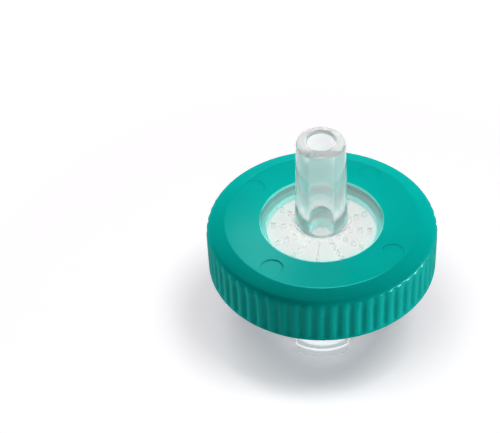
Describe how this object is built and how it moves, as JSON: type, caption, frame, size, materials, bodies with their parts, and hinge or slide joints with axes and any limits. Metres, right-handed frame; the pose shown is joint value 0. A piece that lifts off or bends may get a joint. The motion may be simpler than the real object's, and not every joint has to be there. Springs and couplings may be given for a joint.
{
  "type": "syringe filter",
  "caption": "Round syringe filter: a white membrane between clear housings in a fluted green ring, with a luer lock inlet socket below and a luer slip outlet tube above.",
  "frame": {"origin": "on the axis, in the plane of the inlet socket's rim, which is the lowest point", "axes": "+Z along the axis towards the tip of the outlet tube; the two luer lock lugs lie along Y"},
  "size_m": [0.0194, 0.0194, 0.0215],
  "materials": {
    "clear_plastic": "clear, slightly milky moulded plastic",
    "membrane_white": "matte white membrane",
    "ring_green": "satin moulded plastic"
  },
  "bodies": {
    "root": {"inlet_housing": "clear_plastic", "outlet_housing": "clear_plastic", "membrane": "membrane_white", "grip_ring": "ring_green"}
  },
  "joints": []
}
